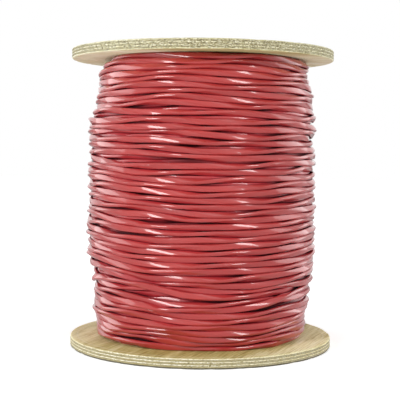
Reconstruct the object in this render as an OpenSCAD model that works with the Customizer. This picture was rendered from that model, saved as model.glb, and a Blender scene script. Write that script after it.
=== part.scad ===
// Plywood cable reel, full of red two-core cable and standing on its lower flange.
// Millimetres, +Z up. The origin is on the reel's axis, at the underside of the lower flange.
// Two plywood flanges clamp a fibre drum, which sits in a routed groove in each of them. Four long
// hex bolts run through the drum, from washers in the lower flange to tee nuts in the upper one.
// The cable's first end stands in a hole of the upper flange, and its last end lies on the lower
// flange under a round-crown staple.

/* [Flanges] */
// Diameter of the two flanges
flange_d = 266.7; // [230:0.1:330]
// Thickness of each flange
flange_t = 10; // [9:0.5:16]
// Radius that the rims are sanded to
rim_round = 1.2; // [0.4:0.1:3]
// Diameter of the arbor hole
arbor_d = 34.9; // [20:0.1:38]
// Depth of the routed groove that the drum sits in
groove_depth = 3.5; // [2:0.5:5]

/* [Drum] */
// Distance between the flanges
traverse = 280; // [230:1:340]
// Outside diameter of the fibre drum
drum_d = 101.6; // [95:0.1:125]
// Wall thickness of the fibre drum
drum_wall = 4.8; // [3:0.1:6]

/* [Winding] */
// Height of bare flange left outside the fullest part of the winding
free_edge = 16; // [10:0.5:40]
// How much lower the winding is beside the flanges than at its middle
wind_drop = 13; // [4:0.5:20]
// Power of the curve that the winding falls away by, higher for squarer shoulders
wind_power = 2.5; // [1.5:0.1:4]
// Turns drawn in the outer layer, each as thick as the traverse leaves room for
turns = 24; // [18:1:24]
// Gap between neighbouring turns
turn_gap = 0.6; // [0.5:0.1:2]

/* [Cable] */
// Outside diameter of the cable
cable_d = 6.2; // [5.2:0.1:8]
// Wall of its jacket, which holds two insulated wires side by side
jacket_t = 0.5; // [0.4:0.05:0.6]
// Diameter of each wire's copper
copper_d = 1.63; // [0.8:0.01:1.63]
// Distance from the cut of the last end to the rim
tail_to_rim = 5; // [3:0.5:20]
// Direction from the axis in which the last turn leaves the winding, in degrees
tail_angle = 68; // [40:1:90]
// Direction from the axis of the hole for the first end, in degrees
start_angle = 20; // [0:5:360]

/* [Fasteners] */
// Diameter of the tie bolts
bolt_d = 6.35; // [5:0.05:8]
// Width across the flats of the bolt heads
head_flats = 11.1; // [9:0.1:13]
// Height of the bolt heads
head_h = 4; // [3:0.1:5]
// Diameter of the washers
washer_d = 15.9; // [13:0.1:17]
// Thickness of the washers
washer_t = 1.6; // [1:0.1:2]
// Diameter of the tee nuts' plates
tee_plate_d = 17.5; // [14:0.1:18]
// Thickness of the tee nuts' plates
tee_plate_t = 1.5; // [1:0.1:2]
// Wall of the tee nuts' barrels
tee_wall = 0.8; // [0.6:0.1:1.2]
// Diameter of the staple's wire
staple_wire_d = 1.2; // [0.8:0.1:1.6]
// Depth that the staple's legs are driven in
staple_depth = 6; // [4:0.5:8]

/* [Hidden] */
$fn = 96;

plywood = "#c9b88f";
fibreboard = "#a98355";
zinc = "#b9bcc0";
steel = "#a5a7aa";
red_pvc = "#b04b4b";
black_pvc = "#26262a";
copper = "#b87345";

// Clearances
seat_gap = 0.3;        // between the cable and what it lies on or passes
groove_gap = 0.2;      // between the drum and the sides of its grooves, and at its upper end
thread_gap = 0.05;     // between a bolt and a tee nut, and between wire, copper and jacket
bolt_hole_gap = 0.35;  // between a bolt and its hole, and a washer's hole
recess_gap = 1;        // between a washer or a tee nut and its recess
head_sink = 0.4;       // from a bolt head or a tee nut to the face of its flange
start_hole_gap = 1.4;  // between the cable and the hole for its first end
start_hole_wall = 2.5; // plywood between that hole and the groove

// Flanges and drum
flange_r = flange_d / 2;
arbor_r = arbor_d / 2;
drum_r = drum_d / 2;
drum_in_r = drum_r - drum_wall;
top_z = flange_t + traverse; // inner face of the upper flange
reel_h = top_z + flange_t;
rim_steps = 4;
through = 1; // how far a cutting shape runs past the face that it cuts

// Tie bolts, midway between the arbor hole and the drum
bolts = 4;
bolt_r = bolt_d / 2;
bolt_circle_r = (arbor_r + drum_in_r) / 2;
washer_seat_z = head_sink + head_h + washer_t;
tee_seat_z = reel_h - head_sink - tee_plate_t;
tee_bore_r = bolt_r + thread_gap;
tee_barrel_r = tee_bore_r + tee_wall;
tee_barrel_l = flange_t - head_sink - tee_plate_t - 0.5;
prongs = 3;
prong = [0.8, 2.4, 5]; // thickness, width and length of a tee nut's prong
prong_r = tee_plate_d / 2 - 1.2;
bolt_end_z = reel_h - head_sink;

// Outer layer: a helix from the upper flange down to the lower one
rings = 24; // rings in a turn
sides = 6;  // sides of a ring
turn_pitch = (traverse - 2 * seat_gap + turn_gap) / (turns + 1);
turn_d = turn_pitch - turn_gap; // across the flats, which face the turns above and below
turn_r = turn_d / 2 / cos(180 / sides);
helix_top_z = top_z - seat_gap - turn_d / 2;
helix_bottom_z = flange_t + seat_gap + turn_d / 2;
wind_mid_z = flange_t + traverse / 2;

// Cable ends
cable_r = cable_d / 2;
copper_r = copper_d / 2;
wire_hole_r = (cable_r - jacket_t) / 2;
wire_r = wire_hole_r - thread_gap;
wire_proud = 1;     // how far the wires stand out of the cut jacket
copper_proud = 1.4; // how far the copper does
start_hole_r = cable_r + start_hole_gap;
start_centre_r = drum_r + groove_gap + start_hole_wall + start_hole_r;
start_length = flange_t + seat_gap - copper_proud - head_sink;
tail_start_r = winding_r(helix_bottom_z) - turn_r;
tail_end_r = flange_r - tail_to_rim - cable_r;
tail_length = sqrt(pow(tail_end_r, 2) - pow(tail_start_r, 2)) - turn_d;
staple_back = 14; // from the cut end of the jacket to the staple
staple_r = staple_wire_d / 2;
leg_offset = cable_r + seat_gap + staple_r;

// Radius of the winding's outside at height z
function winding_r(z) =
    let (across = abs(z - wind_mid_z) / (traverse / 2))
    flange_r - free_edge - wind_drop * pow(across, wind_power);

// Radius of the plain core under the outer layer, low enough for the straight runs between rings
function core_r(z) = (winding_r(z) - 2 * turn_r) * cos(180 / rings) - seat_gap;

// Centre of ring i of the outer layer, where i counts down the helix from the upper flange
function helix_point(i) =
    let (
        z = helix_top_z - (helix_top_z - helix_bottom_z) * i / (turns * rings),
        r = winding_r(z) - turn_r,
        a = tail_angle + 360 * i / rings
    )
    [r * cos(a), r * sin(a), z];

// Direction in which the helix runs at angle a
function along(a) = [-sin(a), cos(a), 0];

// Both ends run straight for the thickness of one turn
function layer_path() =
    let (last = turns * rings)
    concat(
        [helix_point(0) - turn_d * along(tail_angle)],
        [for (i = [0 : last]) helix_point(i)],
        [helix_point(last) + turn_d * along(tail_angle)]
    );

// Least gap between one turn and the next, measured between the path's points
function least_gap(path) =
    min([
        for (i = [0 : len(path) - rings - 1], k = [rings - 2 : rings + 2])
            if (i + k < len(path)) norm(path[i + k] - path[i]) - turn_d
    ]);

layer = layer_path();
echo(least_gap_between_turns = least_gap(layer));

// Rings of six points round the path, each in the upright plane through the axis, and square ends
function ring_angle(i) = tail_angle + 360 * min(max(i - 1, 0), turns * rings) / rings;
function ring_points(path, i, r) =
    let (a = ring_angle(i), out = [cos(a), sin(a), 0])
    [for (s = [0 : sides - 1]) path[i] + r * (cos(360 * s / sides) * out
        + sin(360 * s / sides) * [0, 0, 1])];

module tube_along(path, r) {
    points = [for (i = [0 : len(path) - 1]) each ring_points(path, i, r)];
    last = (len(path) - 1) * sides;
    walls = [
        for (i = [0 : len(path) - 2], s = [0 : sides - 1])
            let (
                a = i * sides + s,
                b = i * sides + (s + 1) % sides
            )
            each [[a, b, b + sides], [a, b + sides, a + sides]]
    ];
    caps = [
        for (s = [1 : sides - 2])
            each [[0, s + 1, s], [last, last + s, last + s + 1]]
    ];
    polyhedron(points = points, faces = concat(walls, caps), convexity = 10);
}

// Places its children at each tie bolt
module at_bolt(i) {
    rotate([0, 0, 45 + 360 * i / bolts])
        translate([bolt_circle_r, 0, 0])
            children();
}

// The cable's first end, which rises out of the winding through the upper flange
module at_start() {
    rotate([0, 0, start_angle])
        translate([start_centre_r, 0, top_z - seat_gap])
            children();
}

// The cable's last end, which leaves the last turn square and lies on the lower flange
module at_finish() {
    rotate([0, 0, tail_angle])
        translate([tail_start_r, turn_d, flange_t + seat_gap + cable_r])
            rotate([-90, 0, 0])
                children();
}

// A ring about the axis, from r_in to r_out and from z upward
module ring(r_in, r_out, z, h) {
    translate([0, 0, z])
        difference() {
            cylinder(r = r_out, h = h);
            translate([0, 0, -through])
                cylinder(r = r_in, h = h + 2 * through);
        }
}

// Plywood disc with its arbor hole and its sanded rims
module flange_blank(z) {
    lower = [
        for (i = [0 : rim_steps])
            let (a = -90 + 90 * i / rim_steps)
            [flange_r - rim_round + rim_round * cos(a), rim_round + rim_round * sin(a)]
    ];
    upper = [for (i = [rim_steps : -1 : 0]) [lower[i][0], flange_t - lower[i][1]]];
    translate([0, 0, z])
        rotate_extrude()
            polygon(concat([[arbor_r, 0]], lower, upper, [[arbor_r, flange_t]]));
}

// Routed groove for the drum, open downward from z or upward to z
module groove(z) {
    ring(drum_in_r - groove_gap, drum_r + groove_gap, z, groove_depth + through);
}

module bottom_flange() {
    color(plywood)
        difference() {
            flange_blank(0);
            groove(flange_t - groove_depth);
            for (i = [0 : bolts - 1])
                at_bolt(i) {
                    translate([0, 0, -through])
                        cylinder(r = washer_d / 2 + recess_gap, h = washer_seat_z + through);
                    cylinder(r = bolt_r + bolt_hole_gap, h = flange_t + through);
                }
            staple_legs(thread_gap);
        }
}

module top_flange() {
    color(plywood)
        difference() {
            flange_blank(top_z);
            groove(top_z - through);
            for (i = [0 : bolts - 1])
                at_bolt(i) {
                    translate([0, 0, tee_seat_z])
                        cylinder(r = tee_plate_d / 2 + recess_gap, h = flange_t);
                    translate([0, 0, top_z - through])
                        cylinder(r = tee_barrel_r + thread_gap, h = flange_t);
                    tee_prongs(thread_gap);
                }
            at_start()
                translate([0, 0, -through])
                    cylinder(r = start_hole_r, h = flange_t + seat_gap + 2 * through);
        }
}

// Spiral-wound fibre tube, standing on the floor of the lower groove
module drum_tube() {
    color(fibreboard)
        ring(drum_in_r, drum_r, flange_t - groove_depth, traverse + 2 * groove_depth - groove_gap);
}

module tie_bolt(i) {
    color(zinc)
        at_bolt(i) {
            translate([0, 0, head_sink])
                cylinder(r = head_flats / sqrt(3), h = head_h, $fn = 6);
            translate([0, 0, head_sink + head_h])
                cylinder(r = bolt_r, h = bolt_end_z - head_sink - head_h);
        }
}

module bolt_washers() {
    color(steel)
        for (i = [0 : bolts - 1])
            at_bolt(i)
                ring(bolt_r + bolt_hole_gap, washer_d / 2, head_sink + head_h, washer_t);
}

// Prongs of one tee nut, each grown by extra where they cut their slits
module tee_prongs(extra) {
    for (k = [0 : prongs - 1])
        rotate([0, 0, 360 * k / prongs])
            translate([
                prong_r - prong[0] / 2 - extra,
                -prong[1] / 2 - extra,
                tee_seat_z - prong[2] - extra
            ])
                cube([prong[0] + 2 * extra, prong[1] + 2 * extra, prong[2] + tee_plate_t / 2 + extra]);
}

module tee_nuts() {
    color(zinc)
        for (i = [0 : bolts - 1])
            at_bolt(i) {
                ring(tee_bore_r, tee_plate_d / 2, tee_seat_z, tee_plate_t);
                ring(tee_bore_r, tee_barrel_r, tee_seat_z - tee_barrel_l, tee_barrel_l + tee_plate_t / 2);
                tee_prongs(0);
            }
}

// Every layer under the outer one, as a plain barrel round the drum
module inner_turns() {
    steps = 20;
    low_z = flange_t + seat_gap;
    high_z = top_z - seat_gap;
    in_r = drum_r + seat_gap;
    outside = [
        for (i = [0 : steps])
            let (z = low_z + (high_z - low_z) * i / steps)
            [core_r(z), z]
    ];
    color(red_pvc)
        rotate_extrude()
            polygon(concat([[in_r, low_z]], outside, [[in_r, high_z]]));
}

module outer_turns() {
    color(red_pvc)
        tube_along(layer, turn_r);
}

// Cut end of the cable: the jacket round its two wires, and what is inside it
module jacket(length) {
    color(red_pvc)
        difference() {
            cylinder(r = cable_r, h = length);
            for (side = [-1, 1])
                translate([0, side * wire_hole_r, -through])
                    cylinder(r = wire_hole_r - thread_gap / 2, h = length + 2 * through);
        }
}

module wire(side, length) {
    translate([0, side * wire_hole_r, 0])
        ring(copper_r + thread_gap, wire_r, 0, length + wire_proud);
}

module conductors(length) {
    color(copper)
        for (side = [-1, 1])
            translate([0, side * wire_hole_r, 0])
                cylinder(r = copper_r, h = length + copper_proud);
}

module start_jacket() {
    at_start() jacket(start_length);
}

module start_wire_red() {
    color(red_pvc) at_start() wire(1, start_length);
}

module start_wire_black() {
    color(black_pvc) at_start() wire(-1, start_length);
}

module start_copper() {
    at_start() conductors(start_length);
}

module finish_jacket() {
    at_finish() jacket(tail_length);
}

module finish_wire_red() {
    color(red_pvc) at_finish() wire(1, tail_length);
}

module finish_wire_black() {
    color(black_pvc) at_finish() wire(-1, tail_length);
}

module finish_copper() {
    at_finish() conductors(tail_length);
}

// Legs of the staple, grown by extra where they cut their holes
module staple_legs(extra) {
    leg_l = seat_gap + cable_r + staple_depth + extra;
    at_finish()
        translate([0, 0, tail_length - staple_back])
            for (side = [-1, 1])
                translate([side * leg_offset, 0, 0])
                    rotate([-90, 0, 0])
                        cylinder(r = staple_r + extra, h = leg_l, $fn = 24);
}

// Round-crown staple over the last end, with its legs in the lower flange
module finish_staple() {
    color(steel) {
        staple_legs(0);
        at_finish()
            translate([0, 0, tail_length - staple_back])
                rotate([0, 0, 180])
                    rotate_extrude(angle = 180)
                        translate([leg_offset, 0, 0])
                            circle(r = staple_r, $fn = 24);
    }
}

bottom_flange();
top_flange();
drum_tube();
tie_bolt(0);  // tie_bolt_1
tie_bolt(1);  // tie_bolt_2
tie_bolt(2);  // tie_bolt_3
tie_bolt(3);  // tie_bolt_4
bolt_washers();
tee_nuts();
inner_turns();
outer_turns();
start_jacket();
start_wire_red();
start_wire_black();
start_copper();
finish_jacket();
finish_wire_red();
finish_wire_black();
finish_copper();
finish_staple();
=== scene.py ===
# %% [markdown]
# # A plywood reel full of red cable
# A cable reel is two plywood discs that long bolts pull together on a fibre tube, with a thousand feet
# of cable wound on it. The measured part is loaded first and stays fixed. Each later step dresses one
# of its pieces, or replaces it by a mesh that has the detail of the real one. Lengths are worked out in
# millimetres, as on a drawing, and turned to Blender's metres when a mesh is finished.

import math

import bmesh
import bpy
import numpy as np
from mathutils import Matrix, Vector


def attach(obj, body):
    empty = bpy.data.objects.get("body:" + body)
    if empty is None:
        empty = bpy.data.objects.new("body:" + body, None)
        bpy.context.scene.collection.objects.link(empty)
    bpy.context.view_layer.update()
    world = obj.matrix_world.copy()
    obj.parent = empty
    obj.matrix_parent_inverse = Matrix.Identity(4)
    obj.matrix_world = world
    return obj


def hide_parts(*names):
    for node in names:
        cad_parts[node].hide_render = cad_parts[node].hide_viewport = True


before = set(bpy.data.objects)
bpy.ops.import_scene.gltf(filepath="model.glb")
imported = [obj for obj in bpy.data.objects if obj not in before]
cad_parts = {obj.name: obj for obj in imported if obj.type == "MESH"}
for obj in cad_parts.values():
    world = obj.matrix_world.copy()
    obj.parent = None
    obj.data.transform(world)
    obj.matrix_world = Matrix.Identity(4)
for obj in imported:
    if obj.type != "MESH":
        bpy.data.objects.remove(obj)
bpy.context.view_layer.update()
MM = 0.001

# %% [markdown]
# ## Camera
# A product shot is taken from about a metre away with a short telephoto lens, so that the round discs
# look nearly flat. The camera stands a little above the middle of the reel. The small shift centres it
# without tilting the camera further, which would make the sides of the reel lean.

# %% Camera
DISTANCE, CAMERA_Z = 1057.9, 199.8  # mm from the reel's axis, and above the floor
TILT_DOWN, ROLL = 0.02997, 0.01038  # radians
LENS, SENSOR = 92.41, 36  # mm
SHIFT_X, SHIFT_Y = -0.00425, -0.05  # parts of the picture's width

scene = bpy.context.scene


def placed(name, data):
    """A new object in the scene, of a mesh, lamp, curve or camera."""
    obj = bpy.data.objects.new(name, data)
    scene.collection.objects.link(obj)
    return obj


camera = placed("camera", bpy.data.cameras.new("camera"))
camera.data.lens, camera.data.sensor_width = LENS, SENSOR
camera.data.shift_x, camera.data.shift_y = SHIFT_X, SHIFT_Y
camera.matrix_world = (
    Matrix.Translation((0, -DISTANCE * MM, CAMERA_Z * MM))
    @ Matrix.Rotation(math.pi / 2 - TILT_DOWN, 4, "X")
    @ Matrix.Rotation(ROLL, 4, "Z")
)
scene.camera = camera
scene.view_settings.view_transform = "Standard"
print("camera at", [round(c / MM) for c in camera.location], "mm")

# %% [markdown]
# ## Colours and nodes
# Colours are picked as sRGB hex values, and Blender's sockets take linear numbers, so one function turns
# them. Nodes could be added, set and linked one call at a time, but a wood of eighty nodes is then hard
# to follow. So one function does all three, and a material's look reads like a recipe.

# %% Colour and node helpers
def srgb(hex_colour):
    """The linear red, green, blue and alpha of a colour such as "#c9b88f"."""
    parts = [int(hex_colour[i:i + 2], 16) / 255 for i in (1, 3, 5)]
    return [c / 12.92 if c <= 0.04045 else ((c + 0.055) / 1.055) ** 2.4 for c in parts] + [1]


def emptied(owner):
    """Empties a material's or a world's node tree, and returns the function that adds a node to it."""
    owner.use_nodes = True
    tree = owner.node_tree
    tree.nodes.clear()

    def add(kind, *values, inputs=None, stops=(), **settings):
        """Adds a shader node of a kind such as "Math ADD" or "Mix RGBA", with its settings and a ramp's
        stops. The values fill its inputs from the top, and inputs fills some by name. A value is a
        number, a colour, an output, or another node, whose first working output is linked."""
        kind, _, mode = kind.partition(" ")
        node = tree.nodes.new("ShaderNode" + kind)
        if mode:
            settings["data_type" if kind == "Mix" else "operation"] = mode
        for key, value in settings.items():
            setattr(node, key, value)
        for k, (position, colour) in enumerate(stops):
            elements = node.color_ramp.elements
            element = elements[k] if k < len(elements) else elements.new(position)
            element.position, element.color = position, srgb(colour)
        working = [socket for socket in node.inputs if socket.enabled]
        named = [(node.inputs[key], value) for key, value in (inputs or {}).items()]
        for socket, value in [*zip(working, values), *named]:
            if isinstance(value, bpy.types.Node):
                value = next(output for output in value.outputs if output.enabled)
            if isinstance(value, bpy.types.NodeSocket):
                tree.links.new(value, socket)
            else:
                socket.default_value = value
        return node

    return add


def made_of(name, look, *values):
    """A new material. Its look is a function that adds nodes, and returns the inputs of the shader."""
    material = bpy.data.materials.new(name)
    add = emptied(material)
    add("OutputMaterial", add("BsdfPrincipled", inputs=look(add, *values)))
    print(f"{name}: {len(material.node_tree.nodes)} nodes")
    return material


print("a middle grey of #808080 is", round(srgb("#808080")[0], 3), "as a linear number")

# %% [markdown]
# ## Light
# Soft studio light: a soft box on each side of the camera, a wide panel at each side of the reel, a weak
# one overhead, and white surroundings. The glossy cable mirrors the boxes as long thin glints, and the
# panels as soft pale streaks where its sides turn away. Small lamps would be simpler, but leave hard
# shadows and glints like dots.

# %% Floor, room and lamps
MIDDLE = Vector((0, 0, 0.15))  # of the reel, in metres


def soft_box(name, turn, distance, height, size, radiance):
    """A rectangular lamp that faces the reel, a turn in degrees from the camera's side. Sizes are in
    metres. The radiance is how bright the lamp looks, where white paper is 1."""
    lamp = bpy.data.lights.new(name, "AREA")
    lamp.shape = "RECTANGLE"
    lamp.size, lamp.size_y = size
    lamp.energy = radiance * math.pi * size[0] * size[1]
    obj = placed(name, lamp)
    turn = math.radians(turn)
    obj.location = (distance * math.sin(turn), -distance * math.cos(turn), height)
    obj.rotation_euler = (MIDDLE - obj.location).to_track_quat("-Z", "Y").to_euler()


def mesh_of(bm, name="mesh"):
    """Turns a bmesh into a mesh, and frees it."""
    mesh = bpy.data.meshes.new(name)
    bm.to_mesh(mesh)
    bm.free()
    return mesh


soft_box("left_box", -39, 1.5, 0.55, (0.65, 0.5), 14)
soft_box("right_box", 44, 1.5, 0.95, (0.5, 0.5), 12)
soft_box("left_panel", -104, 1.4, 0.4, (1.3, 0.9), 2.2)
soft_box("right_panel", 104, 1.4, 0.4, (1.3, 0.9), 2.1)
soft_box("overhead_panel", 0, 0.9, 1.6, (1.4, 0.8), 0.8)

AMBIENT = 0.25  # The room looks white, and lights the reel with this part of white
world = bpy.data.worlds.new("white_room")
scene.world = world
add = emptied(world)
ray = add("LightPath").outputs
seen = add("Math MAXIMUM", ray["Is Camera Ray"], ray["Is Glossy Ray"])
seen = add("Math MAXIMUM", seen, ray["Is Transmission Ray"])
strength = add("MapRange", seen, 0, 1, AMBIENT, 1)
add("OutputWorld", add("Background", srgb("#ffffff"), strength))

FLOOR_R, FLOOR_DROP = 6, 0.0002  # m. The floor lies a hair under the reel, so that they never mix
bm = bmesh.new()
bmesh.ops.create_circle(bm, cap_ends=True, segments=64, radius=FLOOR_R)
floor = placed("floor", mesh_of(bm))
floor.location.z = -FLOOR_DROP
material = bpy.data.materials.new("white_paper_sweep")
add = emptied(material)
paper = add("BsdfDiffuse", srgb("#f7f7f7"))
# To the camera the paper also glows, more so away from the reel. So it keeps the shadow at the reel's
# foot, and turns as white as the room further out
away = add("VectorMath LENGTH", add("TexCoord").outputs["Object"])
away = add("MapRange", away, 0.14, 0.5, 0.45, 0.9)
glow = add("Emission", srgb("#ffffff"), away)
glowing = add("AddShader", paper, glow)
ray = add("LightPath").outputs
add("OutputMaterial", add("MixShader", ray["Is Camera Ray"], paper, glowing))
floor.data.materials.append(material)
print(len(bpy.data.lights), "lamps, the room and the floor are in place")

# %% [markdown]
# ## How the cable lies
# The cable is a twisted pair in a tight jacket, so its section is a stretched oval that turns over once
# in every lay. Hundreds of turns are never wound quite evenly: they nest in the dips of the layer below,
# drift apart, and now and then ride over a neighbour. Drawing that by hand would look drawn. So the top
# two layers are laid as one long line with a little wander, and then settled: each point is pulled in by
# the winding tension, pushed off whatever it overlaps, and smoothed along the cable, which is stiff.

# %% Sizes of the winding
FLANGE_T, TOP_Z = 10.0, 290.0  # the flange, and the inner face of the upper one
LOBE_R, LOBE_C = 1.95, 1.15  # the section is two lobes of this radius, this far off centre
LAY = 260.0  # mm of cable for one full twist of the pair
FLOP = 0.22  # how much the cable rests on its flat sides before it turns over
RINGS = 150  # points in a turn
UNDER, OUTER = 46, 46  # turns in the layer below, and in the outer one
TAIL_ANGLE = math.radians(68)  # where the last turn leaves the winding
TAIL_R, TAIL_L = 99.49, 76.1  # its distance from the axis there, and the straight length after it
TAIL_Z = FLANGE_T + 0.3  # the underside of that length
TAIL_RINGS = 16
rng = np.random.default_rng(11)


def rise(x):
    """A smooth step from 0 to 1 about x = 0."""
    return 0.5 + 0.5 * np.tanh(x)


def eased(x):
    """A smooth step from 0 to 1 between x = 0 and x = 1."""
    x = np.clip(x, 0, 1)
    return x * x * (3 - 2 * x)


def core_radius(azimuth, z):
    """Outside of the deep turns: a barrel with the ledges where a part layer ends. A ledge is so many mm
    deep, sets in at a height, and takes a few mm to do so."""
    left = (1 - np.cos(azimuth)) / 2
    front = np.clip(-np.sin(azimuth), 0, 1) ** 2
    # A slow swell, two ledges above the lower flange, and three below the upper one
    r = 106.7 + 0.8 * np.sin(2 * np.pi * z / 47 + 1.3 * np.sin(azimuth)) * np.cos(azimuth + 0.6)
    r = r - 6.0 * rise((79 - 8.5 * np.cos(azimuth) - z) / 3.5) - 3.0 * rise((32 - z) / 6)
    r = r - (3.0 + 4.5 * left) * rise((z - 237 + 3 * left) / 4) - 4.0 * rise((z - 262) / 5)
    r = r - (2.5 + 2.5 * left) * rise((z - 281) / 4)
    # A waist on the right. The front is fuller at the top and thinner at the bottom
    r = r - 4.5 * np.exp(-((z - 207) / 7) ** 2) * np.clip(np.cos(azimuth - 0.1), 0, 1)
    r = r + front * (7.0 * rise((z - 262) / 6) - 6.0 * rise((24 - z) / 5))
    # A hollow behind, where the last turn comes down to the flange
    return r - 7.0 * rise((20 - z) / 3) * np.clip(np.cos(azimuth - TAIL_ANGLE - 0.2), 0, 1) ** 1.5


def wander(count, length):
    """Smooth noise along the cable, with a spread of 1, whose bumps are about length points long."""
    waves = np.fft.rfftfreq(count)
    noise = np.fft.rfft(rng.normal(size=count)) * np.exp(-(waves * length * np.pi) ** 2 / 2)
    noise = np.fft.irfft(noise, count)
    return noise / noise.std()


# %% Lay the two layers as one line
SIDE = 3.0  # mm from a flange to the middle of the last turn
FLAT = 0.35  # of a turn that lies flat against a flange
RIDES = 24  # places where a turn rides over its neighbours
count = (UNDER + OUTER) * RINGS + 1
to_go = np.arange(count)[::-1] / RINGS  # turns still to come
azimuth = TAIL_ANGLE - 2 * np.pi * to_go
low, high = FLANGE_T + SIDE, TOP_Z - SIDE
z = np.where(
    to_go <= OUTER,
    low + (to_go - FLAT) * (high - low) / (OUTER - 2 * FLAT),
    high - (to_go - OUTER - FLAT) * (high - low) / (UNDER - 2 * FLAT),
)
z = np.clip(z, low, high)
z += (1.1 * wander(count, 48) + 0.6 * wander(count, 24)) * np.clip(to_go * 1.5, 0, 1)
# The turns aren't quite level: high up they arch in front and behind, and lower down they sag there
arch = 6.0 * np.tanh((z - 215) / 25) * np.clip((z - low) / 45, 0, 1) * np.clip((high - z) / 28, 0, 1)
z += arch * np.sin(azimuth) ** 2
lift = np.zeros(count)
for _ in range(RIDES):
    centre = rng.integers(2, OUTER - 2) + rng.uniform(0.3, 0.62) + rng.choice([0, 0.5])
    reach = rng.uniform(0.14, 0.24)  # of a turn, to each side of the centre
    swing = rng.choice([-1, 1]) * rng.uniform(4.5, 6.5)
    near = eased(1 - np.abs(to_go - centre) / reach)
    z += swing * near
    lift = np.maximum(lift, 4.5 * np.clip(near * 1.6, 0, 1))
z = np.clip(z, low, high)
# The outer layer starts 5 mm further out than the one below, and half a turn climbs up to it
r = core_radius(azimuth, z) + 2.6 + 5.0 * np.clip(OUTER + 0.5 - to_go, 0, 1) + lift
length = np.cumsum(r) * 2 * np.pi / RINGS
twist = -2 * np.pi * (length[-1] - length) / LAY + 0.5 * wander(count, 260)
twist += math.pi / 2 - 2 * math.pi * TAIL_L / LAY - twist[-1]  # so that the cut end stands on edge
twist += FLOP * np.sin(2 * twist)
print(f"{UNDER + OUTER} turns, {length[-1] / 1000:.0f} m of cable, {count} points")


# %% Settle it
CLOSE = 8  # mm. Points further apart than this can't touch soon
LOOK_AGAIN = 12  # rounds after which the close pairs are looked for again
TO_GUIDE = 0.004  # of the way back to where it was laid, in each round
PUSH = 0.54  # of an overlap that each of the two points makes up, in each round
PINNED = 0.35  # of the last turn bends to where the straight end starts
FLANGE_GAP = 0.05  # mm
DEEP = 0.3  # mm of overlap that would show


def half_width(out, up, turn):
    """Half the section's width along a direction in the plane across the cable."""
    return LOBE_R + LOBE_C * np.abs(out * np.cos(turn) + up * np.sin(turn))


def near_pairs(r, z):
    """Pairs of points at the same azimuth that are close enough to touch soon."""
    rr, zz = r[:-1].reshape(-1, RINGS), z[:-1].reshape(-1, RINGS)
    close = (abs(zz[:, None] - zz) < CLOSE) & (abs(rr[:, None] - rr) < CLOSE)
    first, second, ring = np.nonzero(close & np.triu(np.ones(close.shape[:2], bool), 1)[:, :, None])
    return first * RINGS + ring, second * RINGS + ring


def settle(r, z, rounds, pull, stiffness):
    """Pulls the cable in, pushes touching turns apart and smooths it, a small step at a time."""
    pinned = eased(1 - to_go / PINNED)
    for step in range(rounds):
        if step % LOOK_AGAIN == 0:
            a, b = near_pairs(r, z)
        r = r - pull
        z = z + TO_GUIDE * (guide - z)
        gap = np.hypot(r[b] - r[a], z[b] - z[a]) + 1e-6
        out, up = (r[b] - r[a]) / gap, (z[b] - z[a]) / gap
        overlap = np.clip(half_width(out, up, twist[a]) + half_width(out, up, twist[b]) - gap, 0, None)
        hits = np.bincount(a, overlap > 0, count) + np.bincount(b, overlap > 0, count)
        share = PUSH / np.maximum(hits, 1)
        r = r + share * (np.bincount(b, overlap * out, count) - np.bincount(a, overlap * out, count))
        z = z + share * (np.bincount(b, overlap * up, count) - np.bincount(a, overlap * up, count))
        for line in (r, z):
            line[1:-1] += stiffness * ((line[:-2] + line[2:]) / 2 - line[1:-1])
        r = np.maximum(r, core_radius(azimuth, z) + half_width(1, 0, twist))
        tall = half_width(0, 1, twist) + FLANGE_GAP
        z = np.clip(z, FLANGE_T + tall, TOP_Z - tall)
        r += pinned * (TAIL_R - r)
        z += pinned * (TAIL_Z + half_width(0, 1, twist) - z)
    deep = (overlap > DEEP).sum()
    print(f"{rounds} rounds, {deep} of {len(overlap)} near pairs overlap by over {DEEP} mm")
    return r, z


guide = z.copy()
r, z = settle(r, z, 260, 0.05, 0.35)
r, z = settle(r, z, 60, 0.01, 0.15)

# %% [markdown]
# ## The turns as one tube
# Rings could be joined point by point, but a curve with a bevel profile sweeps a section along a line
# faster, and its tilt turns the section, as the twist of the pair does. The curve is converted to a mesh
# at once, so that the place along the cable can be kept on its points for the material.

# %% Sweep a section along a line
CROWN = 0.035  # mm by which the flat sides bulge
SHARP = math.radians(40)  # edges that turn by more than this stay sharp


def pair_outline():
    """Points round the jacket over two wires: nearly flat sides, round ends. In mm, long side on x."""
    corner = [(1.30, 1.95), (2.38, 1.69), (3.06, 0.76)]
    half = [(x, -y) for x, y in corner] + corner[::-1] + [(0, LOBE_R + CROWN)]
    return half + [(-x, -y) for x, y in half]


def round_outline(radius, points=16):
    """Points round a circle, in mm."""
    turns = [2 * math.pi * k / points for k in range(points)]
    return [(radius * math.cos(a), radius * math.sin(a)) for a in turns]


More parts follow.
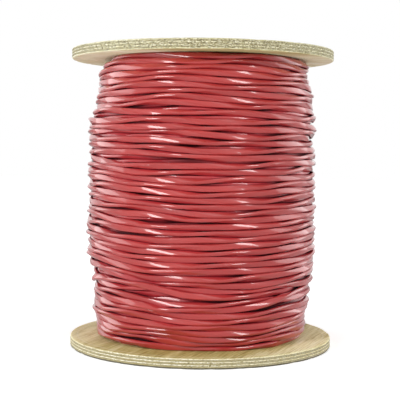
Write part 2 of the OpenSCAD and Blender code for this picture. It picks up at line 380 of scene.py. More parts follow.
def sweep(line, tilt, outline):
    """Sweeps a closed outline along the points of a line, in mm, and returns a mesh with closed ends."""
    objects = []
    for cyclic, points in ((True, [(x, y, 0) for x, y in outline]), (False, line)):
        curve = bpy.data.curves.new("curve", "CURVE")
        spline = curve.splines.new("POLY")
        spline.points.add(len(points) - 1)
        spline.points.foreach_set("co", np.column_stack([points, np.ones(len(points))]).ravel())
        spline.use_cyclic_u = cyclic
        objects.append(placed("curve", curve))
    section, path = objects
    path.data.dimensions = "3D"
    path.data.twist_mode = "Z_UP"
    path.data.bevel_mode = "OBJECT"
    path.data.bevel_object = section
    path.data.use_fill_caps = True
    tilts = np.broadcast_to(tilt, len(line)).astype(float)
    path.data.splines[0].points.foreach_set("tilt", tilts)
    bpy.context.view_layer.update()
    graph = bpy.context.evaluated_depsgraph_get()
    mesh = bpy.data.meshes.new_from_object(path.evaluated_get(graph))
    for obj in objects:
        bpy.data.objects.remove(obj)
    mesh.flip_normals()  # the curve leaves them facing inwards
    return mesh


def finished(name, bm, material, slot, *nodes):
    """Makes a bmesh in mm an object in metres that rides on the reel, for the CAD nodes it replaces."""
    bmesh.ops.scale(bm, vec=(MM, MM, MM), verts=bm.verts)
    bmesh.ops.recalc_face_normals(bm, faces=bm.faces)
    mesh = mesh_of(bm, name)
    mesh.shade_smooth()
    mesh.set_sharp_from_angle(angle=SHARP)
    mesh.materials.append(material)
    obj = placed(name, mesh)
    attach(obj, "root")
    if nodes:
        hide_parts(*nodes)
    mesh.calc_loop_triangles()
    print(f"{name}: {len(mesh.loop_triangles)} triangles, for {', '.join(nodes) or 'no CAD node'}")


section = pair_outline()
tail = np.linspace(0, TAIL_L, TAIL_RINGS + 1)[1:]
tail_twist = math.pi / 2 - 2 * math.pi * (TAIL_L - tail) / LAY
tail_twist += FLOP * np.sin(2 * tail_twist)
out = np.array([math.cos(TAIL_ANGLE), math.sin(TAIL_ANGLE), 0])
along = np.array([-out[1], out[0], 0])
tail_line = TAIL_R * out + tail[:, None] * along
tail_line[:, 2] = TAIL_Z + half_width(0, 1, tail_twist)
cable = np.vstack([np.column_stack([r * np.cos(azimuth), r * np.sin(azimuth), z]), tail_line])
twist = np.append(twist, tail_twist)
length = np.append(length, length[-1] + tail)
swept = sweep(cable, -twist, section)
print(f"the cable's mesh has {len(swept.vertices)} points")


# %% [markdown]
# ## How open each point lies
# Deep between the turns the jacket looks nearly black. Part of that is shade, which the renderer makes.
# The rest is painted shade: the colour goes nearly black where the neighbours leave little open, and
# the gloss dulls there under dust of the winding machine, which stays where nothing rubs it off. A
# bake of the shade could tell where, but takes a renderer, so each point's free angle is worked out
# from the section's width: the angle that its neighbours leave open round it. Then the tube is cut
# into the two layers and the straight end.

# %% The free angle round each point
def openness_of(mesh, corners):
    """For each ring and corner of the swept mesh, the free angle as a part of a half turn."""
    co, normal = (np.empty(3 * len(mesh.vertices), np.float32) for _ in range(2))
    mesh.vertices.foreach_get("co", co)
    mesh.vertices.foreach_get("normal", normal)
    # The points of the two end caps come first
    co, normal = (a[6 * corners:].reshape(-1, corners, 3)[:count - 1] for a in (co, normal))
    radius = np.hypot(co[..., 0], co[..., 1])
    outward = (normal[..., 0] * co[..., 0] + normal[..., 1] * co[..., 1]) / radius
    facing = np.arctan2(normal[..., 2], outward)
    free = np.zeros(radius.shape)
    own = np.repeat(np.arange(UNDER + OUTER), corners)
    for plane in range(RINGS):
        here = slice(plane, None, RINGS)
        turn_r, turn_z, turn_twist = r[:-1][here], z[:-1][here], twist[:count - 1][here]
        point_r, point_z, point_facing = (a[here].reshape(-1, 1) for a in (radius, co[..., 2], facing))
        dr, dz = turn_r - point_r, turn_z - point_z
        away = np.hypot(dr, dz)
        wide = half_width(-dz / away, dr / away, turn_twist)
        edge = np.arctan2(dr, abs(dz)) + np.arcsin(np.clip(wide / away, 0, 1))
        edge[np.arange(len(own)), own] = 0  # its own turn counts through the normal
        above = np.maximum(np.where(dz > 0, edge, 0).max(axis=1), -point_facing[:, 0])
        below = np.maximum(np.where(dz <= 0, edge, 0).max(axis=1), point_facing[:, 0])
        free[here] = (1 - (above + below) / math.pi).reshape(-1, corners)
    return np.clip(free, 0, 1)


openness = openness_of(swept, len(section))
print(f"{(openness > 0.5).mean():.0%} of the points lie open by more than a right angle")


# %% Cut rings out of the tube
def rings_of(swept, outline, length, first, last, openness=()):
    """The swept rings first to last as a closed bmesh. Two attributes keep each point's place on the
    cable, and how open it lies."""
    bm = bmesh.new()
    bm.from_mesh(swept)
    place = bm.verts.layers.float_vector.new("cable_place")
    free = bm.verts.layers.float.new("openness")
    bm.verts.index_update()
    drop = []
    for v in bm.verts:  # the points of the two end caps come first
        ring, corner = divmod(v.index - 2 * len(outline), len(outline))
        if first <= ring <= last and ring >= 0:
            x, y = outline[corner]
            v[place] = (x * MM, y * MM, length[ring] * MM)
            v[free] = openness[ring, corner] if ring < len(openness) else 1
        else:
            drop.append(v)
    bmesh.ops.delete(bm, geom=drop, context="VERTS")
    bmesh.ops.holes_fill(bm, edges=[e for e in bm.edges if e.is_boundary], sides=0)
    bmesh.ops.recalc_face_normals(bm, faces=bm.faces)
    return bm


under_turns = rings_of(swept, section, length, 0, UNDER * RINGS, openness)
outer_turns = rings_of(swept, section, length, UNDER * RINGS, count - 1, openness)
print(f"{len(under_turns.verts)} points in the layer below, {len(outer_turns.verts)} in the outer one")

# %% [markdown]
# ## Jacket
# The jacket is soft PVC, pressed hot out of a die round the two wires. It comes out glossy, with faint
# lines along it from the die, and it picks up dull scuffs wherever it rubs. Those lines run along the
# cable and turn with it, which no solid pattern could do, so the material reads the place in the section
# and along the cable that was kept on the mesh.

# %% Jacket material
def pvc(add, light, dark, roughness):
    """Extruded PVC. It reads cable_place: x and y in the section, then the length, in metres."""
    place = add("Attribute", attribute_name="cable_place").outputs["Vector"]
    free = add("Attribute", attribute_name="openness").outputs["Fac"]
    patterns = []
    for scale, detail in (
        ((2000, 2000, 16), 2),  # die lines half a millimetre apart that last for about 60 mm
        ((150, 150, 20), 2),  # pale and dark stretches 50 mm long, of uneven pigment
        ((500, 500, 120), 3),  # dull scuffs 2 mm across and 8 mm long
    ):
        stretched = add("Mapping", place, inputs={"Scale": scale})
        patterns.append(add("TexNoise", stretched, 1, detail))
    lines, batch, scuffs = patterns
    tone = add("Mix FLOAT", 0.3, batch, lines)
    colour = add("ValToRGB", tone, stops=((0.35, dark), (0.65, light)))
    # Light that bounces between two turns picks up the red twice, so the shallow grooves are crimson
    groove = add("MapRange", free, 0.7, 0.35, 0, 0.5)
    colour = add("Mix RGBA", groove, colour, srgb("#b02236"))
    # Painted shade: where the neighbours leave little open, the colour goes nearly black. The same mask
    # dulls the gloss there, under dust
    painted_shade_and_dust = add("MapRange", free, 0.4, 0.17, 0, 0.92)
    colour = add("Mix RGBA", painted_shade_and_dust, colour, srgb("#25080f"))
    # A skin of softener sweats out of the PVC and shines over a duller body. In the gaps it is dusty
    skin = add("MapRange", free, 0.22, 0.5, 0, 0.95)
    dull = add("MapRange", scuffs, 0.56, 0.72, roughness, roughness + 0.2)
    dull = add("Math MULTIPLY_ADD", painted_shade_and_dust, 0.5, dull)
    bump = add("Bump", inputs={"Strength": 0.3, "Distance": 0.04 * MM, "Height": lines})
    return {"Base Color": colour, "Roughness": dull, "Specular IOR Level": 0.2,
            "Coat Weight": skin, "Coat Roughness": 0.09, "Normal": bump}


jacket_pvc = made_of("extruded_red_pvc_jacket", pvc, "#b03735", "#a12f2e", 0.33)
finished("under_turns", under_turns, jacket_pvc, "red_jacket")
finished("outer_turns_wound", outer_turns, jacket_pvc, "red_jacket", "outer_turns")

# %% [markdown]
# ## Deep turns
# Of the layers further in, only a dark ripple shows, deep in the widest gaps. More turns of the swept
# tube would be true but heavy, so one ring-shaped barrel stands for them all. Half its section is spun
# round the axis, and its outer points are moved to the ledges, and in and out with each turn.

# %% Deep turns
SAME = 1e-4  # mm. Points that lie closer than this are one point
BORE_R, BLANK_R = 51.2, 100  # the barrel's bore, and its outside before it is moved
TURNS, STEPS = 46, 6  # turns up the barrel, and points in each
TURN_L, DIP = 0.69, 1.7  # m of cable in a turn, and mm that a dip is deep


def spun(outline, segments):
    """A bmesh: a closed outline of (radius, height) pairs, spun a full turn about +Z."""
    bm = bmesh.new()
    verts = [bm.verts.new((radius, 0, height)) for radius, height in outline]
    edges = [bm.edges.new(pair) for pair in zip(verts, verts[1:] + verts[:1])]
    bmesh.ops.spin(bm, geom=verts + edges, axis=(0, 0, 1), cent=(0, 0, 0), steps=segments,
                   angle=2 * math.pi, use_merge=True)
    bmesh.ops.remove_doubles(bm, verts=bm.verts, dist=SAME)
    bmesh.ops.recalc_face_normals(bm, faces=bm.faces)
    return bm


heights = np.linspace(FLANGE_T + 0.3, TOP_Z - 0.3, TURNS * STEPS + 1)
outside = [(BLANK_R, height) for height in heights]
bm = spun([(BORE_R, heights[0]), *outside, (BORE_R, heights[-1])], 90)
place = bm.verts.layers.float_vector.new("cable_place")
free = bm.verts.layers.float.new("openness")
for v in bm.verts:
    a = math.atan2(v.co.y, v.co.x)
    turn = (v.co.z - heights[0]) / (heights[-1] - heights[0]) * TURNS
    v[place] = (v.co.x * MM / 10, v.co.z * MM, (turn + a / (2 * math.pi)) * TURN_L)
    # Painted shade: with no openness the whole barrel takes the near-black colour of the deepest gaps
    v[free] = 0
    if v.co.xy.length > BORE_R + 1:
        dip = DIP * (1 - abs(math.sin(math.pi * turn)))
        v.co.xy *= (float(core_radius(a, v.co.z)) - dip) / v.co.xy.length
finished("deep_turns", bm, jacket_pvc, "red_jacket", "inner_turns")

# %% [markdown]
# ## Metals and insulation
# Bolts and tee nuts are zinc plated, a bluish grey with cloudy patches. The washers are plain steel from
# a tumbling barrel, covered in fine dull dents, and the staple is galvanised wire. Each could have its
# own function, but all are bare metal with noise in colour and roughness, as the drawn copper is, so one
# does for them all. Real grit is finer: it is drawn coarse enough to show. The wires' insulation is PVC.

# %% Metal and insulation materials
def metal(add, light, dark, patch, grit, roughness):
    """Bare metal with cloudy patches and a finer grit, whose sizes are given in millimetres."""
    place = add("TexCoord").outputs["Object"]
    clouds = add("TexNoise", place, 1 / (patch * MM), 3)
    fine = add("TexNoise", place, 1 / (grit * MM), 2)
    colour = add("ValToRGB", clouds, stops=((0.35, dark), (0.65, light)))
    rough = add("Mix FLOAT", 0.5, clouds, fine)
    rough = add("MapRange", rough, 0.3, 0.7, roughness - 0.1, roughness + 0.12)
    bump = add("Bump", inputs={"Strength": 0.35, "Distance": 0.03 * MM, "Height": fine})
    return {"Base Color": colour, "Metallic": 1, "Roughness": rough, "Normal": bump}


zinc_plate = made_of("zinc_plated_steel", metal, "#c9ccd2", "#a3a9b3", 3.0, 0.25, 0.34)
washer_steel = made_of("tumbled_steel_washer", metal, "#b3b3b1", "#8d8d8c", 1.2, 0.3, 0.42)
staple_wire = made_of("galvanised_staple_wire", metal, "#b8bcc1", "#8f949b", 0.8, 0.2, 0.38)
copper_wire = made_of("drawn_copper_wire", metal, "#dd9468", "#b06a44", 0.7, 0.15, 0.27)
insulation = {
    "red": made_of("red_wire_insulation", pvc, "#b0302f", "#982828", 0.25),
    "black": made_of("black_wire_insulation", pvc, "#2a2a2e", "#1c1c20", 0.28),
}
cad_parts["finish_staple"].material_slots[0].material = staple_wire

# %% [markdown]
# ## Cut ends
# At each end the jacket has been cut square, and the two wires stick out a little: one red, one black,
# each a tight tube of PVC on solid copper. They twist round each other inside the jacket, so each one
# follows a line that runs round the cable's own. A flat end cap with a picture of the wires would be
# quicker, but it can't stick out. So the same sweep makes them, and the jacket's end face is inset and
# pushed in, as the hollow between jacket and wires.

# %% Wires inside the ends
WIRE_OFF, WIRE_R, COPPER_R = 1.3, 1.25, 0.815
WIRE_PROUD, COPPER_PROUD = 1.0, 1.4
JACKET_WALL, JACKET_HOLLOW = 0.45, 1.2
WIRE_WALL, WIRE_HOLLOW = 0.4, 0.3


def hollow_end(bm, towards, wall, depth):
    """Insets the end face that faces a direction, and pushes its middle in."""
    towards = Vector(towards)
    face = max(bm.faces, key=lambda f: f.calc_area() * max(0, f.normal.dot(towards)))
    bmesh.ops.inset_region(bm, faces=[face], thickness=wall, use_even_offset=True)
    pushed = bmesh.ops.extrude_face_region(bm, geom=[face])["geom"]
    bmesh.ops.delete(bm, geom=[face], context="FACES")
    pushed = [v for v in pushed if isinstance(v, bmesh.types.BMVert)]
    bmesh.ops.translate(bm, vec=-depth * towards, verts=pushed)


def strand(core, radius, reach, proud, towards):
    """A round strand along a line whose points lie at a reach, which ends proud of it in a direction."""
    line = np.vstack([core, core[-1] + proud * towards])
    outline = round_outline(radius)
    reach = np.append(reach, reach[-1] + proud)
    return rings_of(sweep(line, 0, outline), outline, reach, 0, len(line))


def joined(*parts):
    """Several bmeshes as one, which frees them."""
    result = bmesh.new()
    for part in parts:
        result.from_mesh(mesh_of(part))
    return result


def cable_end(name, jacket, axis, turn, across, other, towards):
    """The jacket and two wires with copper along its axis. The section turns from across to the other."""
    hollow_end(jacket, towards, JACKET_WALL, JACKET_HOLLOW)
    finished(f"{name}_end_jacket", jacket, jacket_pvc, "red_jacket", f"{name}_jacket")
    long_way = np.cos(turn)[:, None] * across + np.sin(turn)[:, None] * other
    reach = np.append(0, np.cumsum(np.linalg.norm(np.diff(axis, axis=0), axis=1)))
    coppers = []
    for colour, side in (("red", -1), ("black", 1)):
        core = axis + side * WIRE_OFF * long_way
        wire = strand(core, WIRE_R, reach, WIRE_PROUD, towards)
        hollow_end(wire, towards, WIRE_WALL, WIRE_HOLLOW)
        finished(f"{name}_{colour}_insulation", wire, insulation[colour],
                 f"{colour}_insulation", f"{name}_wire_{colour}")
        coppers.append(strand(core, COPPER_R, reach, COPPER_PROUD, towards))
    finished(f"{name}_copper_pair", joined(*coppers), copper_wire, "copper", f"{name}_copper")


# %% Make the two ends
east, north, up = np.eye(3)
last = count - 1
jacket = rings_of(swept, section, length, last, last + TAIL_RINGS)
cable_end("finish", jacket, cable[last:], twist[last:], out, up, along)

START_ANGLE, START_R = math.radians(20), 58.0
START_X, START_Y = START_R * math.cos(START_ANGLE), START_R * math.sin(START_ANGLE)
start_z = np.linspace(TOP_Z - 2.5, TOP_Z + 8.2, 8)
start_line = np.array([START_X, START_Y, 0]) + start_z[:, None] * up
# A curve that runs straight up has its section's x on +X
start_turn = START_ANGLE + math.pi / 2 - 2 * math.pi * (start_z[-1] - start_z) / LAY
jacket = rings_of(sweep(start_line, -start_turn, section), section, start_z, 0, len(start_z))
cable_end("start", jacket, start_line, start_turn, east, north, up)

# %% [markdown]
# ## Plywood
# A reel's flange is a disc of softwood plywood, seven veneers of which every second one is turned across
# the others. Where the rim cuts a veneer along its fibres it is pale and smooth, and where it cuts them
# across it is darker, rough and full of pores. Rings of separate material would show seams. A solid
# pattern has none: it works out from the height which veneer a point is in, turns the fibres by a right
# angle in every second one, and compares their direction with the surface's own to find end grain.

# %% Plywood material
FLANGE_R = 133.35
PLIES = 7
PLY_T = FLANGE_T / PLIES
PRESS_RING = 126.2  # radius of the pale ring that the press leaves on each face


def plywood(add, grain_angle, strip, sapwood, torn_part):
    """Rotary-cut softwood plywood. The face grain runs at an angle in degrees to +X. The strip is a
    golden band along the grain across the front of the face, partly heartwood and partly painted shade:
    its middle across the grain, where it begins to fade and where it ends, in mm, and its strength. The
    sapwood's colours go from dark to light. torn_part says how torn the rim is."""
    place = add("TexCoord").outputs
    solid = place["Object"]
    turn = {"Rotation": (0, 0, math.radians(-grain_angle))}
    turned = add("Mapping", solid, inputs=turn)
    x, y, z = add("SeparateXYZ", turned).outputs
    facing = add("SeparateXYZ", add("Mapping", place["Normal"], inputs=turn)).outputs
    flat_on = add("Math ABSOLUTE", facing["Z"])
    side_on = add("Math ABSOLUTE", facing["Y"])
    rim = add("Math SUBTRACT", 1, flat_on)

    # Which veneer a point is in, counted from the underside with a little waviness, and how far up in it
    up = add("Math FLOORED_MODULO", add("Math ADD", z, 0.01 * MM), TOP_Z * MM)
    up = add("Math DIVIDE", up, PLY_T * MM)
    wavy = add("Math SUBTRACT", add("TexNoise", solid, 55, 2), 0.5)
    up = add("Math MULTIPLY_ADD", wavy, 0.35 + 0.3 * torn_part, up)
    up = add("Clamp", up, 0.02, PLIES - 0.02)
    odd = add("Math FLOORED_MODULO", add("Math FLOOR", up), 2)
    across = add("Math FLOORED_MODULO", up, 1)

    # Along and across the fibres of that veneer, and how squarely the surface cuts them
    fibre = add("Mix VECTOR", odd, turned, add("CombineXYZ", y, x, z))
    cut = add("Math ABSOLUTE", add("Mix FLOAT", odd, facing["X"], facing["Y"]))
    end_grain = add("Math POWER", cut, 1.5)
    # Where a dull saw runs along the face's fibres it tears every veneer but the lowest, like end grain
    ragged = add("Math MULTIPLY", add("Math GREATER_THAN", up, 1.1), rim)
    ragged = add("Math MULTIPLY", ragged, add("Math MULTIPLY", side_on, 0.85 * torn_part))
    end_grain = add("Math MAXIMUM", end_grain, ragged)

    patterns = []
    for point, scale, detail, roughness, bent in (
        (fibre, (40, 1150, 1150), 4, 0.6, 0),  # streaks of the grain, 1 mm wide and 25 mm long
        (fibre, (9, 60, 60), 3, 0.5, 0.8),  # bands where the knife met the year rings
        (solid, (450, 450, 1300), 3, 0.7, 0),  # pores of a third of a mm, drawn 2 mm long to show
        (solid, (620, 620, 1000), 3, 0.6, 0),  # torn fibres and pits, 1 to 2 mm long
        (fibre, (260, 260, 260), 1, 0.5, 0),  # small dark marks, a few in every hand's breadth
    ):
        stretched = add("Mapping", point, inputs={"Scale": scale})
        patterns.append(add("TexNoise", stretched, 1, detail, roughness, inputs={"Distortion": bent}))
    streaks, bands, pores, torn, marks = patterns

    # Long grain, with a golden strip across the front: partly heartwood, partly painted shade
    tone = add("Mix FLOAT", 0.3, streaks, bands)
    darks = (0.4, 0.5, 0.61)
    pale = add("ValToRGB", tone, stops=zip(darks, sapwood))
    golden = add("ValToRGB", tone, stops=zip(darks, ("#968445", "#bbad6b", "#d3ca95")))
    middle, full, gone, strength = strip
    aside = add("Math ABSOLUTE", add("Math SUBTRACT", y, middle * MM))
    aside = add("Math MULTIPLY_ADD", add("Math SUBTRACT", bands, 0.5), full * MM, aside)
    # Painted shade in part: the strip turns the front of the face darker and golden
    heartwood_and_shade = add("MapRange", aside, full * MM, gone * MM, strength, 0)
    wood = add("Mix RGBA", add("Math MULTIPLY", heartwood_and_shade, flat_on), pale, golden)
    # The press leaves a pale ring 7 mm inside the edge of each face
    radius = add("VectorMath LENGTH", add("VectorMath MULTIPLY", solid, (1, 1, 0)))
    ring = add("Math ABSOLUTE", add("Math SUBTRACT", radius, PRESS_RING * MM))
    ring = add("MapRange", ring, 1.1 * MM, 0.3 * MM, 0, 0.35)
    wood = add("Mix RGBA", ring, wood, srgb("#f0ead2"))
    # End grain with open pores. A cut along the face's fibres opens more of them
    opened = add("Math MULTIPLY_ADD", side_on, -0.085 * torn_part, pores)
    ends = add("ValToRGB", opened, stops=((0.36, "#8a7f58"), (0.46, "#e6dfb9"), (0.58, "#faf7e6")))
    wood = add("Mix RGBA", end_grain, wood, ends)

    darker = add("Math MULTIPLY_ADD", side_on, -0.5 * torn_part, 0.7 + 0.15 * torn_part)
    glue = add("Math MULTIPLY_ADD", side_on, -0.25 * torn_part, 0.7)
    seam = add("Math LESS_THAN", add("Math MINIMUM", across, add("Math SUBTRACT", 1, across)), 0.2)
    torn = add("MapRange", torn, 0.66 - 0.15 * torn_part, 0.72 - 0.12 * torn_part, 0, 0.85)
    torn = add("Math MULTIPLY", torn, rim)
    marks = add("MapRange", marks, 0.78, 0.82, 0, 0.6)
    low = add("MapRange", z, 1.7 * MM, 1.1 * MM, 0, 0.9)
    edge = add("Math GREATER_THAN", radius, (FLANGE_R - 1.4) * MM)
    for colour, part, *factors in (
        ("#85784c", darker, odd, rim),  # the cross veneers are of darker wood
        ("#5c502f", glue, seam, rim),  # glue lines part them from their neighbours
        ("#5d5438", torn),
        ("#5d5030", marks),
        ("#3b372c", low, edge),  # painted shade under the corner that the reel stands on
    ):
        for factor in factors:
            part = add("Math MULTIPLY", part, factor)
        wood = add("Mix RGBA", part, wood, srgb(colour))

    rough = add("MapRange", tone, 0, 1, 0.62, 0.8)
    height = add("Math SUBTRACT", add("Mix FLOAT", end_grain, streaks, pores), torn)
    bump = add("Bump", inputs={"Strength": 0.6, "Distance": 0.4 * MM, "Height": height})
    return {"Base Color": wood, "Roughness": rough, "Specular IOR Level": 0.3, "Normal": bump}


# %% [markdown]
# ## The discs
# A plain disc could come from a cylinder, but a real rim isn't plain: its corners are rubbed round, the
# veneers stand a little proud of each other, and knocks have bruised it. So half a section is drawn as a
# line, spun round the axis, and its rim points are moved in by a little noise. Then the bolt holes and
# recesses are cut with a Boolean, as a drill and a router cut them.

# %% Half sections of the discs
ARBOR_R, DRUM_R, DRUM_IN_R = 17.45, 50.8, 46.0
GROOVE_DEPTH, GROOVE_GAP = 3.5, 0.2
CORNER_R = 1.2
STEP = 0.12  # mm to each side of a glue line, where a veneer ends
SEGMENTS = 480


def disc_outline(grooved_top):
    """Half section of a disc from z 0 to its thickness, with the drum's groove in one face."""
    turns = [math.radians(a) for a in range(0, 91, 18)]
    arc = [(FLANGE_R - CORNER_R + CORNER_R * math.sin(a), CORNER_R - CORNER_R * math.cos(a))
           for a in turns]
    plain = [(ARBOR_R, 0.5), (ARBOR_R + 0.4, 0)] + [(x, 0) for x in (30, 60, 90, 115, 127, 130)]
    rim = arc + [(FLANGE_R, PLY_T * k + d) for k in range(1, PLIES) for d in (-STEP, STEP)]
    groove = [(DRUM_R + GROOVE_GAP, 0), (DRUM_R + GROOVE_GAP, GROOVE_DEPTH),
              (DRUM_IN_R - GROOVE_GAP, GROOVE_DEPTH), (DRUM_IN_R - GROOVE_GAP, 0)]
    inwards = plain[::-1]
    grooved = [p for p in inwards if p[0] > DRUM_R] + groove + [p for p in inwards if p[0] < DRUM_IN_R]
    rising = [(x, z) for x, z in rim if z < FLANGE_T - CORNER_R]
    falling = arc[::-1] + (grooved if grooved_top else inwards)
    return (plain if grooved_top else grooved[::-1]) + rising + [(x, FLANGE_T - z) for x, z in falling]


print(len(disc_outline(True)), "points in half a section")


# %% Cut and wear the discs
KNOCKS = 70
RIM_W, CORNER_H = 3.5, 2.4  # mm inwards and along that wear can reach


def cutter(bm, radius, low, high, place):
    """Adds a round cutter to a bmesh, from one height to another."""
    matrix = Matrix.Translation((*place, (low + high) / 2))
    bmesh.ops.create_cone(bm, cap_ends=True, segments=48, radius1=radius, radius2=radius,
                          depth=high - low, matrix=matrix)


def boolean(blank, tool, operation="DIFFERENCE"):
    """Cuts one bmesh with another and returns the result as a bmesh."""
    blank, tool = (placed("temporary", mesh_of(bm)) for bm in (blank, tool))
    modifier = blank.modifiers.new("cut", "BOOLEAN")
    modifier.object = tool
    modifier.operation = operation
    modifier.solver = "EXACT"
    bpy.context.view_layer.update()
    cut = bpy.data.meshes.new_from_object(blank.evaluated_get(bpy.context.evaluated_depsgraph_get()))
    for obj in (blank, tool):
        bpy.data.objects.remove(obj)
    result = bmesh.new()
    result.from_mesh(cut)
    bmesh.ops.remove_doubles(result, verts=result.verts, dist=SAME)
    return result


def wear_rim(bm, grain_angle):
    """Moves the points of the rim in: cross veneers lie back a little, and the corners carry bruises."""
    fuzz = np.stack([wander(SEGMENTS, 2.5) for _ in range(2 * PLIES)])
    bruise = np.zeros((2, SEGMENTS))
    for _ in range(KNOCKS):
        edge, at = rng.integers(2), rng.integers(SEGMENTS)
        wide, deep = rng.uniform(0.8, 3.0), rng.uniform(0.15, 0.75) ** 1.5
        away = (np.arange(SEGMENTS) - at + SEGMENTS // 2) % SEGMENTS - SEGMENTS // 2
        bruise[edge] = np.maximum(bruise[edge], deep * np.exp(-(away / wide) ** 2))
    for v in bm.verts:
        radius = v.co.xy.length
        if radius < FLANGE_R - RIM_W:
            continue
        a = math.atan2(v.co.y, v.co.x)
        k = int(round(a / (2 * math.pi) * SEGMENTS)) % SEGMENTS
        ply = min(max(int(v.co.z / PLY_T), 0), PLIES - 1)
        fibre = math.radians(grain_angle) + (math.pi / 2 if ply % 2 else 0)
        half = 2 * ply + (v.co.z / PLY_T % 1 > 0.5)
        back = 0.10 * abs(math.cos(a - fibre)) + 0.05 * abs(fuzz[half, k])
        near_edge = max(0, 1 - min(v.co.z, FLANGE_T - v.co.z) / CORNER_H)
        knock = bruise[int(v.co.z > FLANGE_T / 2), k] * near_edge
        if radius > FLANGE_R - CORNER_R - 0.1:
            v.co.xy *= (radius - back - knock) / radius
        v.co.z += 0.4 * knock if v.co.z < FLANGE_T / 2 else -0.4 * knock


def flange(name, z0, grain_angle, look, cuts, voids):
    """A worn plywood disc, for the CAD node of the same name. A void is a gap in a core veneer that the
    rim lays open: its place in degrees, its height, and its half width and half height in mm."""
    bm = spun(disc_outline(grooved_top=z0 == 0), SEGMENTS)
    wear_rim(bm, grain_angle)
    tool = bmesh.new()
    for cut in cuts:
        cutter(tool, *cut)
    for degrees, height, wide, tall in voids:
        a = math.radians(degrees)
        matrix = (Matrix.Translation((FLANGE_R * math.cos(a), FLANGE_R * math.sin(a), height))
                  @ Matrix.Rotation(a, 4, "Z") @ Matrix.Diagonal((2.0, wide, tall, 1)))
        bmesh.ops.create_icosphere(tool, subdivisions=2, radius=1, matrix=matrix)
    bm = boolean(bm, tool)
    bmesh.ops.translate(bm, vec=(0, 0, z0), verts=bm.verts)
    wood = made_of(name + "_plywood", plywood, grain_angle, *look)
    finished(name + "_disc", bm, wood, "plywood", name)


# %% Make the two discs
BOLT_RING = (ARBOR_R + DRUM_IN_R) / 2
BOLT_ANGLES = [math.radians(45 + 90 * k) for k in range(4)]
HEAD_RECESS_R, HEAD_RECESS, BOLT_HOLE_R = 8.95, 6.0, 3.525
NUT_RECESS_R, NUT_RECESS_LOW, BARREL_HOLE_R = 9.75, 8.1, 4.075
START_HOLE_R = 4.5
PAST = 1  # mm that a cutter goes past a face

low_cuts, high_cuts = [], []
for a in BOLT_ANGLES:
    place = (BOLT_RING * math.cos(a), BOLT_RING * math.sin(a))
    low_cuts += [(HEAD_RECESS_R, -PAST, HEAD_RECESS, place),
                 (BOLT_HOLE_R, HEAD_RECESS - PAST, FLANGE_T + PAST, place)]
    high_cuts += [(NUT_RECESS_R, NUT_RECESS_LOW, FLANGE_T + PAST, place),
                  (BARREL_HOLE_R, -PAST, FLANGE_T - PAST, place)]
high_cuts.append((START_HOLE_R, -PAST, FLANGE_T + PAST, (START_X, START_Y)))
flange("bottom_flange", 0, 68,
       look=((-17, 62, 104, 1.0), ("#cdbf84", "#efe6b2", "#faf4d0"), 0.3), cuts=low_cuts,
       voids=[(-86, 3.7, 0.8, 1.5), (-20, 7.0, 1.8, 0.45), (40, 4.2, 1.2, 0.5), (128, 6.4, 2.4, 0.5),
              (190, 2.9, 1.4, 0.45)])
# Painted light: the upper disc's veneers are paler than the lower one's, which lifts its underside out of
# its shade
flange("top_flange", TOP_Z, 12,
       look=((-125, 14, 36, 0.9), ("#d3cc95", "#f5f6cd", "#fdfee9"), 1.0), cuts=high_cuts,
       voids=[(-48, 4.4, 1.3, 0.5), (15, 2.9, 2.0, 0.45), (75, 6.6, 1.1, 0.5), (160, 4.2, 1.8, 0.5),
              (232, 7.0, 1.2, 0.45)])

# %% [markdown]
# ## Drum
# The drum is a tube of grey-brown board, wound from strips of kraft paper on a slant and glued. The CAD
# tube has the right shape, so it stays and only gets a finish: seams that climb round the tube like a
# thread, paper fibres, and slight waves in the tone of each strip. Modelled seams would be too fine for
# a piece that shows only through the arbor hole.

# %% Board material
def kraft_board(add, strip_rise):
    """Spiral-wound kraft board, whose seams climb by a number of millimetres in each turn."""
    place = add("TexCoord").outputs["Object"]
    x, y, z = add("SeparateXYZ", place).outputs
    turn = add("Math ARCTAN2", y, x)
    climb = add("Math MULTIPLY_ADD", turn, -strip_rise * MM / (2 * math.pi), z)
    seam = add("Math FLOORED_MODULO", climb, strip_rise * MM)
    seam = add("MapRange", seam, 0.2 * MM, 0.8 * MM, 0.6, 0)
    fibres = add("TexNoise", place, 900, 4, 0.7)
    board = add("ValToRGB", fibres, stops=((0.35, "#8d6c45"), (0.5, "#a98355"), (0.68, "#bb9768")))
    board = add("Mix RGBA", seam, board, srgb("#5f472b"))
    height = add("Math SUBTRACT", fibres, seam)
    bump = add("Bump", inputs={"Strength": 0.5, "Distance": 0.2 * MM, "Height": height})
    return {"Base Color": board, "Roughness": 0.85, "Normal": bump}


board = made_of("spiral_wound_kraft_board", kraft_board, 95)
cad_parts["drum_tube"].material_slots[0].material = board

# %% [markdown]
# ## Bolts
# Four quarter-inch bolts clamp the reel. A hex head starts as a six-sided prism, and its corners are
# turned off at 30 degrees, which an intersection with a spun cone does just as a lathe would. A thread
# could be cut by a Boolean with a coiled ridge, which is slow and easily fails. Here the shank is spun
# with rings close together, and each point is moved in by where it lies between two crests.

# %% Bolts
BOLT_R, PITCH, THREAD_L = 3.175, 1.27, 38.0
THREAD_DEPTH = 0.39
HEAD_FLATS, HEAD_LOW, HEAD_TOP, BOLT_TOP = 11.1, 0.4, 4.4, 299.6


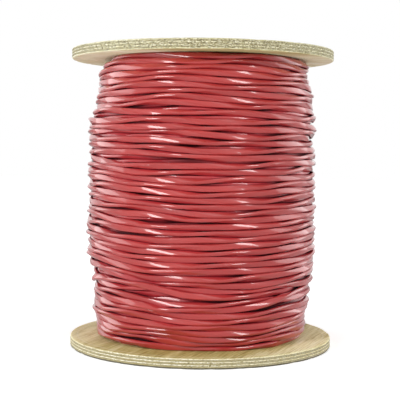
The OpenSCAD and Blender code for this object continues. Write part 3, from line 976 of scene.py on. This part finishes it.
def hex_head():
    """A hex head whose outer face, at the low end, has its corners turned off."""
    prism = bmesh.new()
    corner_r = HEAD_FLATS / math.sqrt(3)
    middle = Matrix.Translation((0, 0, (HEAD_LOW + HEAD_TOP) / 2))
    bmesh.ops.create_cone(prism, cap_ends=True, segments=6, radius1=corner_r, radius2=corner_r,
                          depth=HEAD_TOP - HEAD_LOW, matrix=middle)
    flat, wide = HEAD_FLATS / 2 * 0.97, corner_r + 0.3
    slope = math.tan(math.radians(30))
    cone = spun([(0, HEAD_LOW), (flat, HEAD_LOW), (wide, HEAD_LOW + (wide - flat) * slope),
                 (wide, HEAD_TOP - 0.1), (flat + 0.4, HEAD_TOP), (0, HEAD_TOP)], 48)
    return boolean(prism, cone, "INTERSECT")


def threaded_shank():
    """The shank, from inside the head to its chamfered end, with a rolled thread on its last part."""
    start = BOLT_TOP - THREAD_L
    rings = [(BOLT_R, start + k * PITCH / 4) for k in range(int(THREAD_L / PITCH * 4))]
    bm = spun([(0, HEAD_TOP - 1), (BOLT_R, HEAD_TOP - 1), (BOLT_R, start - 2), *rings,
               (BOLT_R - 0.6, BOLT_TOP), (0, BOLT_TOP)], 24)
    for v in bm.verts:
        if v.co.z >= start and v.co.xy.length > BOLT_R - 0.1:
            climb = (v.co.z / PITCH - math.atan2(v.co.y, v.co.x) / (2 * math.pi)) % 1
            ease = min(1, (v.co.z - start) / PITCH)
            v.co.xy *= 1 - ease * THREAD_DEPTH * abs(2 * climb - 1) / BOLT_R
    return bm


def at_bolts(bm, bolts=range(4)):
    """Copies of a bmesh in one bmesh, one at each bolt, each turned to face out from the axis."""
    copies = []
    for k in bolts:
        copies.append(bm.copy())
        place = Matrix.Rotation(BOLT_ANGLES[k], 4, "Z") @ Matrix.Translation((BOLT_RING, 0, 0))
        bmesh.ops.transform(copies[-1], matrix=place, verts=copies[-1].verts)
    return joined(*copies)


bolt = joined(hex_head(), threaded_shank())
for k in range(4):
    finished(f"hex_bolt_{k + 1}", at_bolts(bolt, [k]), zinc_plate, "zinc", f"tie_bolt_{k + 1}")

# %% [markdown]
# ## Washers and tee nuts
# A washer is punched out of strip, which rolls the edges over on the side where the punch comes in. A
# tee nut is pressed from one sheet: a plate, a barrel with the thread, and three prongs bent down out of
# the plate, which leave notches in its edge. A bevelled cylinder would round all edges alike. So both
# are spun from a drawn section, and the notches are cut before the prongs are added.

# %% Washers
in_r, out_r, low, high = BOLT_R + 0.35, 15.9 / 2, HEAD_TOP, HEAD_TOP + 1.6
washer = spun([(in_r + 0.2, low), (out_r - 0.35, low), (out_r - 0.1, low + 0.12), (out_r, low + 0.4),
               (out_r, high - 0.15), (out_r - 0.15, high), (in_r + 0.15, high), (in_r, high - 0.15),
               (in_r, low + 0.2)], 64)
finished("punched_washers", at_bolts(washer), washer_steel, "zinc", "bolt_washers")

# %% Tee nuts
PLATE_R, PLATE_LOW, PLATE_TOP, BARREL_LOW = 17.5 / 2, 298.1, 299.6, 290.5
NOTCH, PRONG = (1.6, 2.9, 3), (0.8, 2.4, 6.0)  # mm out from the axis, round it and up
PRONG_IN, PRONG_TIP = 1.6, 0.25  # mm in from the plate's edge, and the tip's taper
bore, barrel = BOLT_R + 0.05, BOLT_R + 0.85
nut = spun([(bore, BARREL_LOW), (barrel - 0.15, BARREL_LOW), (barrel, BARREL_LOW + 0.15),
            (barrel, PLATE_LOW - 0.3), (barrel + 0.3, PLATE_LOW), (PLATE_R - 0.1, PLATE_LOW),
            (PLATE_R, PLATE_LOW + 0.2), (PLATE_R, PLATE_TOP - 0.45), (PLATE_R - 0.45, PLATE_TOP),
            (bore + 0.45, PLATE_TOP), (bore, PLATE_TOP - 0.45)], 72)
notches = bmesh.new()
thirds = [Matrix.Rotation(2 * math.pi * k / 3, 4, "Z") for k in range(3)]
for turn in thirds:
    at = turn @ Matrix.Translation((PLATE_R, 0, PLATE_LOW + 0.75))
    bmesh.ops.create_cube(notches, matrix=at @ Matrix.Diagonal((*NOTCH, 1)))
nut = boolean(nut, notches)
for turn in thirds:
    at = turn @ Matrix.Translation((PLATE_R - PRONG_IN, 0, PLATE_LOW - 2.0))
    prong = bmesh.ops.create_cube(nut, matrix=at @ Matrix.Diagonal((*PRONG, 1)))["verts"]
    tip = [v for v in prong if v.co.z < PLATE_LOW - 4]
    centre = sum((v.co for v in tip), Vector()) / len(tip)
    for v in tip:
        v.co = centre + PRONG_TIP * (v.co - centre)
finished("tee_nuts_pressed", at_bolts(nut), zinc_plate, "zinc", "tee_nuts")

# %% [markdown]
# ## Finish
# The last line brings the scene up to date.

# %% Finish
bpy.context.view_layer.update()
